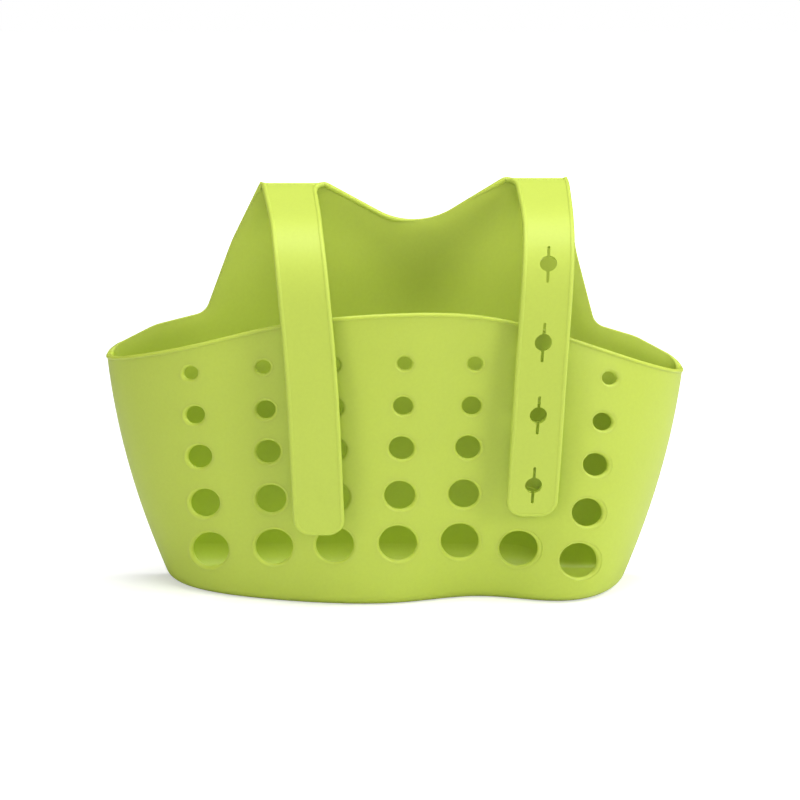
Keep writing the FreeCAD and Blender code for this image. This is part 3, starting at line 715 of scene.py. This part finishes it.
def basket_pieces(material):
    rim = rim_line()
    crest = rim[:, 1] > by_side(rim[:, 0], HORN_TOP) - HAIR
    rounds = BACK_BEAD + (RIM_BEAD - BACK_BEAD) * fullness(rim[:, 0], rim[:, 1])
    bead = np.column_stack([drawn_in(rim, rounds), rounds])
    edge = np.column_stack([bead[:, 0], np.minimum(bead[:, 1], by_side(bead[:, 0], CREST))])

    # Wall, outer and inner skin over the same triangles
    seam = np.arange(FOOT + SPACING, edge[0, 1] - SPACING / 2, SPACING)
    bottom_along = np.linspace(0, SKIN.length, FOOT_POINTS)
    bottom = np.column_stack([bottom_along, np.full(FOOT_POINTS, FOOT)])
    right_seam = np.column_stack([np.full(len(seam), SKIN.length), seam])
    left_seam = np.column_stack([np.zeros(len(seam)), seam[::-1]])
    outline = np.vstack([bottom, right_seam, edge[::-1], left_seam])
    spots, faces = triangulated(outline, wall_hole_rings(WALL / 2), SPACING)
    thin = np.maximum(thinned(spots[:, 0], spots[:, 1]), edge_taper(spots, edge, rounds))
    count = len(spots)
    points = [SKIN.place(spots[:, 0], spots[:, 1], thin), SKIN.place(spots[:, 0], spots[:, 1], WALL - thin)]
    all_faces = list(faces) + [tuple(index + count for index in face[::-1]) for face in faces]
    for first, second in border(faces):
        pair = spots[[first, second]]
        at_seam = np.all(pair[:, 0] < SAME) or np.all(pair[:, 0] > SKIN.length - SAME)
        if at_seam or np.all(pair[:, 1] < FOOT + SAME):
            continue
        all_faces.append((second, first, first + count, second + count))

    # Foot and floor: rings from the wall in to two flat plates
    drain_radius = (DRAIN_DIAMETER + FLOOR) / 2
    drains = [ring(np.array([x, DRAIN_LINE]), drain_radius, DRAIN_POINTS) for x in DRAIN_PLACES]
    turns = np.linspace(0, np.pi / 2, FOOT_TURNS)
    outer_rings = [(FOOT, 0.0)]
    outer_rings += [(BASE_ROUND * (1 - np.sin(t)), BASE_ROUND * (1 - np.cos(t))) for t in turns]
    inner_rings = [(FOOT - FLOOR_FILLET * np.sin(t), WALL + FLOOR_FILLET * (1 - np.cos(t))) for t in turns]
    total = 2 * count
    drain_rings = []
    for levels in (outer_rings, inner_rings):
        laid = [SKIN.place(bottom_along, z, inset) for z, inset in levels]
        width = len(bottom_along)
        for level in range(len(laid) - 1):
            for index in range(width - 1):
                corner = total + level * width + index
                all_faces.append((corner, corner + 1, corner + width + 1, corner + width))
        points += laid
        total += width * len(laid)
        plate, plate_faces = triangulated(laid[-1][:-1, :2], drains, PLATE_SPACING)
        height = levels[-1][0]
        points.append(np.column_stack([plate, np.full(len(plate), height)]))
        all_faces += [tuple(index + total for index in face) for face in plate_faces]
        drain_rings.append((total, plate, plate_faces))
        total += len(plate)
    (low, low_plate, low_faces), (high, high_plate, _) = drain_rings
    twin = {tuple(np.round(spot, 5)): index for index, spot in enumerate(high_plate)}
    for first, second in border(low_faces):
        keys = [tuple(np.round(low_plate[index], 5)) for index in (first, second)]
        if all(key in twin for key in keys):
            all_faces.append((low + first, low + second, high + twin[keys[1]], high + twin[keys[0]]))
    skin = mesh_object("basket_skin", np.vstack(points), all_faces, material)
    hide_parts("basket")

    # Rolled edges
    hole_lips = [(SKIN.place(spot[:, 0], spot[:, 1], WALL / 2), True) for spot in wall_hole_rings(WALL / 2)]
    holes = rolled_edges("basket_hole_lips", hole_lips, WALL / 2, material)
    drain_lips = [(np.column_stack([spot, np.full(len(spot), FLOOR / 2)]), True) for spot in drains]
    floor = rolled_edges("basket_drain_lips", drain_lips, FLOOR / 2, material)
    left_inner, left_outer, right_outer, right_inner = np.flatnonzero(np.diff(crest.astype(int)))
    under = len(RIM_UNDER_CREST)
    sunk = np.array(RIM_UNDER_CREST)
    outside = bead[left_outer + 1 - under : right_outer + 1 + under].copy()
    saddle_right = bead[right_inner + 1 - under : -1] - [SKIN.length, 0, 0]
    saddle = np.vstack([saddle_right, bead[: left_inner + 1 + under]])
    for line in (outside, saddle):
        line[:under, 1] -= sunk[::-1]
        line[-under:, 1] -= sunk
    saddle[:, 0] %= SKIN.length
    proud = WALL / 2 + SADDLE_PROUD * (saddle[:, 2] - BACK_BEAD) / (RIM_BEAD - BACK_BEAD)
    beads = [
        (SKIN.place(outside[:, 0], outside[:, 1], WALL / 2), False, outside[:, 2] / RIM_BEAD),
        (SKIN.place(saddle[:, 0], saddle[:, 1], proud), False, saddle[:, 2] / RIM_BEAD),
    ]
    rim_beads = rolled_edges("basket_rim_bead", beads, RIM_BEAD, material, RIM_SIDES)
    front = bead[(bead[:, 0] >= SKIN.breaks[0]) & (bead[:, 0] <= SKIN.breaks[3])]
    shown = np.clip((front[:, 0] - SKIN.breaks[0]) / SKIN.corner, 0, 1)
    shown *= np.clip((SKIN.breaks[3] - front[:, 0]) / SKIN.corner, 0, 1)
    lip_inset = WALL / 2 + (LIP_BEAD - LIP_PROUD - WALL / 2) * shown
    lip_line = SKIN.place(front[:, 0], front[:, 1] + front[:, 2] - LIP_BEAD, lip_inset)
    lip = rolled_edges("basket_rim_lip", [(lip_line, False)], LIP_BEAD, material)
    return [skin, holes, floor, rim_beads, lip, cove_piece(material)]


# Straps


class StrapPath:
    """The middle line of a strap from the fold on the horn over the shoulder to the tip, by distance."""

    def __init__(self, side):
        sizes = STRAPS[side]
        self.side = side
        self.slope, self.exit, self.tip = (math.radians(sizes[key]) for key in ("slope", "exit", "tip"))
        self.bridge = sizes["bridge"]
        self.shoulder = SHOULDER_RADIUS * (self.exit - self.slope)
        self.drop_radius = sizes["drop"] / (self.tip - self.exit)
        self.length = self.bridge + self.shoulder + sizes["drop"]
        self.crease_z = CREASE_Z[side]
        self.turn = math.pi / 2 + self.slope
        self.tangent = FOLD_RADIUS * math.tan(self.turn / 2)
        self.root = STRAP_ROOT
        self.lean_places = np.array([0.0, self.bridge, self.length - sizes["drop"] / 2, self.length])
        self.leans = np.array([0.0, *sizes["lean"]])

    def bends(self):
        tip_link = KEYHOLE_FROM_TIP + KEYHOLE_PITCH / 2
        return [self.bridge] + [self.length - tip_link - KEYHOLE_PITCH * step for step in (2, 1, 0)]

    def at(self, distance):
        """Y, Z and slope at distances, with the bends evened out as a soft band evens them out."""
        distance = np.asarray(distance, float)
        spread = SOFTNESS * np.clip((distance - SOFT_START) / SOFT_RISE, 0, 1)
        parts = [self.plain(distance + spread * offset) for offset in np.linspace(-1, 1, 9)]
        return tuple(np.mean(values, 0) for values in zip(*parts))

    def plain(self, distance):
        """Y, Z and slope below forward of the bare arcs. Up the panel the slope is a quarter turn back."""
        distance = np.asarray(distance, float)
        c, s = math.cos(self.slope), math.sin(self.slope)
        y = CREASE_Y - c * distance
        z = self.crease_z - s * distance
        slope = np.full_like(distance, self.slope)
        # The tight fold on the horn takes the length of its two tangents
        share = np.clip((distance + self.tangent) / (2 * self.tangent), 0, 1)
        angle = -math.pi / 2 + self.turn * share
        centre_y = CREASE_Y - FOLD_RADIUS
        centre_z = self.crease_z - self.tangent
        fold = distance < self.tangent
        y = np.where(fold, centre_y - FOLD_RADIUS * np.sin(angle), y)
        z = np.where(fold, centre_z + FOLD_RADIUS * np.cos(angle), z)
        slope = np.where(fold, angle, slope)
        up = distance < -self.tangent
        z = np.where(up, centre_z + (distance + self.tangent), z)
        # Shoulder and drop
        start_y = CREASE_Y - c * self.bridge + SHOULDER_RADIUS * s
        start_z = self.crease_z - s * self.bridge - SHOULDER_RADIUS * c
        angle = self.slope + (distance - self.bridge) / SHOULDER_RADIUS
        spot = (distance > self.bridge) & (distance <= self.bridge + self.shoulder)
        y = np.where(spot, start_y - SHOULDER_RADIUS * np.sin(angle), y)
        z = np.where(spot, start_z + SHOULDER_RADIUS * np.cos(angle), z)
        slope = np.where(spot, angle, slope)
        drop_y = start_y + (self.drop_radius - SHOULDER_RADIUS) * math.sin(self.exit)
        drop_z = start_z - (self.drop_radius - SHOULDER_RADIUS) * math.cos(self.exit)
        angle = self.exit + (distance - self.bridge - self.shoulder) / self.drop_radius
        spot = distance > self.bridge + self.shoulder
        y = np.where(spot, drop_y - self.drop_radius * np.sin(angle), y)
        z = np.where(spot, drop_z + self.drop_radius * np.cos(angle), z)
        slope = np.where(spot, angle, slope)
        return y, z, slope

    def edges(self, distance):
        """The left and right edge: they draw in along the bridge and flare into the crest at the crease."""
        distance = np.asarray(distance, float)
        share = np.clip(distance / self.bridge, 0, 1)
        half = (CREASE_WIDTH + (STRAP_WIDTH - CREASE_WIDTH) * share) / 2
        share = np.clip(1 - (distance - FLARE_START) / FLARE_LENGTH, 0, 1)
        shape = 1 - np.sqrt(1 - share**2)
        flares = [INNER_MARGIN * shape, OUTER_MARGIN[self.side] * shape]
        left, right = flares if self.side == "right" else flares[::-1]
        return -half - left, half + right

    def sideways(self, distance):
        """The strap's lean at distances, rising smoothly from one named place to the next."""
        rate = np.diff(self.leans) / np.diff(self.lean_places)
        product = rate[:-1] * rate[1:]
        shared = np.where(product > 0, 2 * product / np.where(product > 0, rate[:-1] + rate[1:], 1.0), 0.0)
        rates = np.concatenate([rate[:1], shared, rate[-1:]])
        index = np.clip(np.searchsorted(self.lean_places, distance) - 1, 0, len(rate) - 1)
        width = np.diff(self.lean_places)[index]
        share = np.clip((distance - self.lean_places[index]) / width, 0, 1)
        rest = 1 - share
        here = self.leans[index] * rest**2 * (1 + 2 * share)
        there = self.leans[index + 1] * share**2 * (1 + 2 * rest)
        return here + there + width * share * rest * (rates[index] * rest - rates[index + 1] * share)

    def place(self, distance, across, rise):
        """A point at a distance along, a place across to the right and a rise off the middle line."""
        y, z, slope = self.at(distance)
        x = HORN_CENTRE[self.side] + self.sideways(np.asarray(distance, float)) + across
        return np.stack([x, y - rise * np.sin(slope), z + rise * np.cos(slope)], -1)


def keyhole_loop(distance):
    """A round hole with a slit on both sides along the strap, as distances along and across."""
    half = KEYHOLE_SLIT / 2
    open_angle = math.asin(half / KEYHOLE_RADIUS)
    reach = KEYHOLE_LENGTH / 2 - half
    spots = []
    for start in (0.0, math.pi):
        c, s = math.cos(start), math.sin(start)
        arc = np.linspace(-math.pi / 2 + open_angle, math.pi / 2 - open_angle, 16)
        side = [(KEYHOLE_RADIUS * math.cos(t), KEYHOLE_RADIUS * math.sin(t)) for t in arc]
        mouth = KEYHOLE_RADIUS + 0.6
        end = np.linspace(0.4, math.pi - 0.4, 4)
        slit = [(half, y) for y in np.linspace(mouth, reach, 4)]
        slit += [(half * math.cos(t), reach + half * math.sin(t)) for t in end]
        slit += [(-half, y) for y in np.linspace(reach, mouth, 4)]
        spots += [(distance + y * c + x * s, x * c - y * s) for x, y in side + slit]
    return np.array(spots)


def outer_rise(path, spots):
    """How far the outer face stands off the middle line: a groove at the crease, a dimple over the stud."""
    rise = np.full(len(spots), STRAP_WEB / 2)
    rise = rise - GROOVE_DEPTH * np.exp(-(((spots[:, 0] - GROOVE_PLACE) / GROOVE_WIDTH) ** 2))
    if path.side == "left":
        away = np.hypot(spots[:, 0] - (path.length - STUD_FROM_TIP), spots[:, 1])
        rise = rise - DIMPLE_DEPTH * np.exp(-((away / DIMPLE_WIDTH) ** 2))
    return rise


def strap_pieces(side, material):
    """The root and the five links of a strap, each a plate with rolled edges."""
    path = StrapPath(side)
    cuts = [path.root, CUT_PAST_BEND] + [bend + CUT_PAST_BEND for bend in path.bends()] + [path.length]
    joints = [0.0] + path.bends()
    for number, (begin, end) in enumerate(zip(cuts, cuts[1:])):
        last = number == len(joints)
        name = f"{side}_strap_root" if number == 0 else f"{side}_strap_{LINKS[number - 1]}"
        outer_end = end - TIP_ROUND if last else end
        run = np.linspace(begin, outer_end, max(3, round((outer_end - begin) / STRAP_STEP)) + 1)
        fold = [] if number else np.arange(*FOLD_ROWS)
        run = np.unique(np.concatenate([run, fold, [begin + THIN_ROW], [] if last else [end - THIN_ROW]]))
        low, high = path.edges(run)
        right = np.column_stack([run, high - STRAP_BEAD])
        left = np.column_stack([run, low + STRAP_BEAD])[::-1]
        across = np.linspace(0, 1, 9)[1:-1]
        closing = left[-1] + (right[0] - left[-1]) * across[:, None]
        if last:
            turn = np.linspace(0, math.pi / 2, 10)[1:]
            inner = TIP_ROUND - STRAP_BEAD
            corner_side = right[-1, 1] - inner * (1 - np.cos(turn))
            corner = np.column_stack([outer_end + inner * np.sin(turn), corner_side])
            far = np.vstack([corner, (corner * [1, -1])[::-1]])
        else:
            far = right[-1] + (left[0] - right[-1]) * across[:, None]
        outline = np.vstack([right, far, left, closing])[::-1]
        holes = []
        if side == "right":
            lowest = path.length - KEYHOLE_FROM_TIP
            centres = [lowest - KEYHOLE_PITCH * step + shift for step, shift in enumerate(KEYHOLE_SHIFT)]
            holes = [keyhole_loop(centre) for centre in centres if begin < centre < end]
        thin_rows = [closing + [THIN_ROW, 0]] + ([] if last else [far - [THIN_ROW, 0]])
        if number:
            spots, faces = triangulated(outline, holes, STRAP_SPACING, np.vstack(thin_rows))
        else:
            spots, faces = even_grid(left[::-1], right, ROOT_COLUMNS)
        rise = outer_rise(path, spots)
        count = len(spots)
        points = [path.place(*spots.T, rise), path.place(*spots.T, -STRAP_WEB / 2)]
        all_faces = list(faces) + [tuple(index + count for index in face[::-1]) for face in faces]
        all_faces += [(second, first, first + count, second + count) for first, second in border(faces)]
        plate = mesh_object(name, np.vstack(points), all_faces, material)
        bead_start = 0 if number else int(np.argmax(run > FLARE_START - BEAD_LEAD))
        lines = [right[bead_start:], left[::-1][bead_start:]]
        if last:
            lines = [np.vstack([right, far, left])]
        beads = [(path.place(line[:, 0], line[:, 1], 0.0), False) for line in lines]
        edge = rolled_edges(f"{name}_edge", beads, STRAP_BEAD, material)
        if number:
            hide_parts(f"{side}_strap_{LINKS[number - 1]}")
        for piece in (plate, edge):
            if last:
                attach(piece, f"{side}_tip")
                continue
            bodies = ["basket"] + [f"{side}_{link}" for link in LINKS]
            reach = [joints[number] - BEND_REACH, joints[number] + BEND_REACH]
            if number == 0:
                reach = [-path.tangent, FOLD_REACH]
            start, finish = path.place(np.array(reach), 0.0, 0.0) * MM
            bodies[number + 1]
            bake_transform(piece)


def stud_piece(material):
    """The mushroom button on the inner face of the left strap."""
    path = StrapPath("left")
    distance = path.length - STUD_FROM_TIP
    seat = path.place(np.array([distance]), 0.0, -STRAP_WEB / 2 - STUD_GAP)[0]
    slope = path.at(np.array([distance]))[2][0]
    inward = np.array([0.0, math.sin(slope), -math.cos(slope)])
    down = np.array([0.0, -math.cos(slope), -math.sin(slope)])
    aside = np.array([1.0, 0.0, 0.0])
    points = []
    for radius, height in STUD_PROFILE:
        for turn in np.linspace(0, 2 * np.pi, STUD_SIDES, endpoint=False):
            points.append(seat + inward * height + radius * (aside * np.cos(turn) + down * np.sin(turn)))
    faces = []
    for level in range(len(STUD_PROFILE) - 1):
        low = level * STUD_SIDES
        high = low + STUD_SIDES
        for index in range(STUD_SIDES):
            on = (index + 1) % STUD_SIDES
            faces.append((low + index, low + on, high + on, high + index))
    stud = mesh_object("snap_button", np.array(points), faces, material)
    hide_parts("snap_stud")
    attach(stud, "left_tip")


# Finish


class Value:
    """A shader socket with arithmetic."""

    def __init__(self, tree, socket):
        self.tree = tree
        self.socket = socket

    def node(self, kind, settings=None, **inputs):
        """A node fed by name, as the value of its first output."""
        made = self.tree.nodes.new(kind)
        for key, setting in (settings or {}).items():
            setattr(made, key, setting)
        for label, value in inputs.items():
            target = made.inputs[label]
            if isinstance(value, Value):
                self.tree.links.new(value.socket, target)
            else:
                target.default_value = value
        return Value(self.tree, next(socket for socket in made.outputs if socket.enabled))

    def maths(self, operation, first, second):
        made = self.tree.nodes.new("ShaderNodeMath")
        made.operation = operation
        for target, value in zip(made.inputs, (first, second)):
            if isinstance(value, Value):
                self.tree.links.new(value.socket, target)
            else:
                target.default_value = value
        return Value(self.tree, made.outputs[0])

    def __add__(self, other):
        return self.maths("ADD", self, other)

    def __radd__(self, other):
        return self.maths("ADD", other, self)

    def __sub__(self, other):
        return self.maths("SUBTRACT", self, other)

    def __rsub__(self, other):
        return self.maths("SUBTRACT", other, self)

    def __mul__(self, other):
        return self.maths("MULTIPLY", self, other)

    def __rmul__(self, other):
        return self.maths("MULTIPLY", other, self)

    def noise(self, scale, detail=2.0):
        return self.node("ShaderNodeTexNoise", Vector=self, Scale=scale, Detail=detail)


def soft_plastic(name, colour, dull, glow, glow_reach):
    """Satin soft plastic: fine moulded grain, faint unevenness, mottled colour, some light let through."""
    material = bpy.data.materials.new(name)
    material.use_nodes = True
    tree = material.node_tree
    shader = tree.nodes["Principled BSDF"]
    coordinate = tree.nodes.new("ShaderNodeTexCoord")
    place = Value(tree, coordinate.outputs["Object"])
    broad = place.noise(BROAD_SCALE)
    speck = place.noise(SPECK_SCALE)
    grain = place.noise(GRAIN_SCALE, 3.0)
    uneven = place.noise(UNEVEN_SCALE)
    tone = 0.5 * broad + 0.5 * speck
    ramp = tree.nodes.new("ShaderNodeMix")
    ramp.data_type = "RGBA"
    ramp.inputs[6].default_value = (*[channel * (1 - MOTTLE) for channel in colour], 1.0)
    ramp.inputs[7].default_value = (*[channel * (1 + MOTTLE) for channel in colour], 1.0)
    tree.links.new(tone.socket, ramp.inputs[0])
    tree.links.new(ramp.outputs[2], shader.inputs["Base Color"])
    rough = dull + DULL_BROAD * broad + DULL_GRAIN * grain
    tree.links.new(rough.socket, shader.inputs["Roughness"])
    soft = place.node("ShaderNodeBump", Strength=0.25, Distance=UNEVEN_HEIGHT, Height=uneven)
    fine = place.node("ShaderNodeBump", Strength=0.12, Distance=GRAIN_HEIGHT, Height=grain, Normal=soft)
    tree.links.new(fine.socket, shader.inputs["Normal"])
    shader.inputs["Subsurface Weight"].default_value = glow
    shader.inputs["Subsurface Radius"].default_value = GLOW_COLOURS
    shader.inputs["Subsurface Scale"].default_value = glow_reach
    shader.inputs["Specular IOR Level"].default_value = SHEEN
    return material


basket_plastic = soft_plastic("basket_lime", BASKET_COLOUR, dull=0.38, glow=0.3, glow_reach=0.003)
strap_plastic = soft_plastic("strap_lime", STRAP_COLOUR, dull=0.48, glow=0.1, glow_reach=0.001)

for piece in basket_pieces(basket_plastic):
    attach(piece, "basket")
for side in STRAPS:
    strap_pieces(side, strap_plastic)
stud_piece(strap_plastic)


# Stage, light and camera


def white_floor():
    mesh = bpy.data.meshes.new("floor")
    corners = [(-1, -1), (1, -1), (1, 1), (-1, 1)]
    mesh.from_pydata([(FLOOR_REACH * x, FLOOR_REACH * y, 0) for x, y in corners], [], [(0, 1, 2, 3)])
    floor = bpy.data.objects.new("floor", mesh)
    bpy.context.scene.collection.objects.link(floor)
    material = bpy.data.materials.new("floor_white")
    material.use_nodes = True
    tree = material.node_tree
    tree.nodes.clear()
    result = tree.nodes.new("ShaderNodeOutputMaterial")
    both = tree.nodes.new("ShaderNodeAddShader")
    paper = tree.nodes.new("ShaderNodeBsdfDiffuse")
    paper.inputs["Color"].default_value = (PAPER, PAPER, PAPER, 1.0)
    glow = tree.nodes.new("ShaderNodeEmission")
    ray = tree.nodes.new("ShaderNodeLightPath")
    coordinate = Value(tree, tree.nodes.new("ShaderNodeTexCoord").outputs["Object"])
    away = coordinate.node("ShaderNodeVectorMath", {"operation": "LENGTH"}, Vector=coordinate)
    lift = away.maths("MAXIMUM", GLOW_RISE * (away - GLOW_START), 0.0)
    seen = Value(tree, ray.outputs["Is Camera Ray"]) * (FLOOR_GLOW + lift)
    tree.links.new(seen.socket, glow.inputs["Strength"])
    tree.links.new(paper.outputs[0], both.inputs[0])
    tree.links.new(glow.outputs[0], both.inputs[1])
    tree.links.new(both.outputs[0], result.inputs["Surface"])
    mesh.materials.append(material)


def area_light(name, place, size, power):
    light = bpy.data.lights.new(name, "AREA")
    light.shape = "DISK"
    light.size = size
    light.energy = power
    lamp = bpy.data.objects.new(name, light)
    lamp.location = place
    lamp.rotation_euler = (Vector(LIGHT_AIM) - Vector(place)).to_track_quat("-Z", "Y").to_euler()
    bpy.context.scene.collection.objects.link(lamp)


def white_world():
    world = bpy.data.worlds.new("studio")
    world.use_nodes = True
    bpy.context.scene.world = world
    tree = world.node_tree
    sky = tree.nodes["Background"]
    sky.inputs["Color"].default_value = (1.0, 1.0, 1.0, 1.0)
    ray = tree.nodes.new("ShaderNodeLightPath")
    seen = Value(tree, ray.outputs["Is Camera Ray"])
    strength = seen + (1.0 - seen) * AMBIENT
    tree.links.new(strength.socket, sky.inputs["Strength"])


def photo_camera():
    lens = bpy.data.cameras.new("photo_camera")
    lens.sensor_width = CAMERA_SENSOR
    lens.lens = CAMERA_LENS
    lens.shift_x, lens.shift_y = CAMERA_SHIFT
    camera = bpy.data.objects.new("photo_camera", lens)
    camera.location = CAMERA_PLACE
    aim = Vector(CAMERA_AIM) - camera.location
    camera.rotation_euler = aim.to_track_quat("-Z", "Y").to_euler()
    bpy.context.scene.collection.objects.link(camera)
    bpy.context.scene.camera = camera


white_floor()
white_world()
for light in LIGHTS:
    area_light(*light)
photo_camera()
bpy.context.scene.view_settings.view_transform = "Standard"
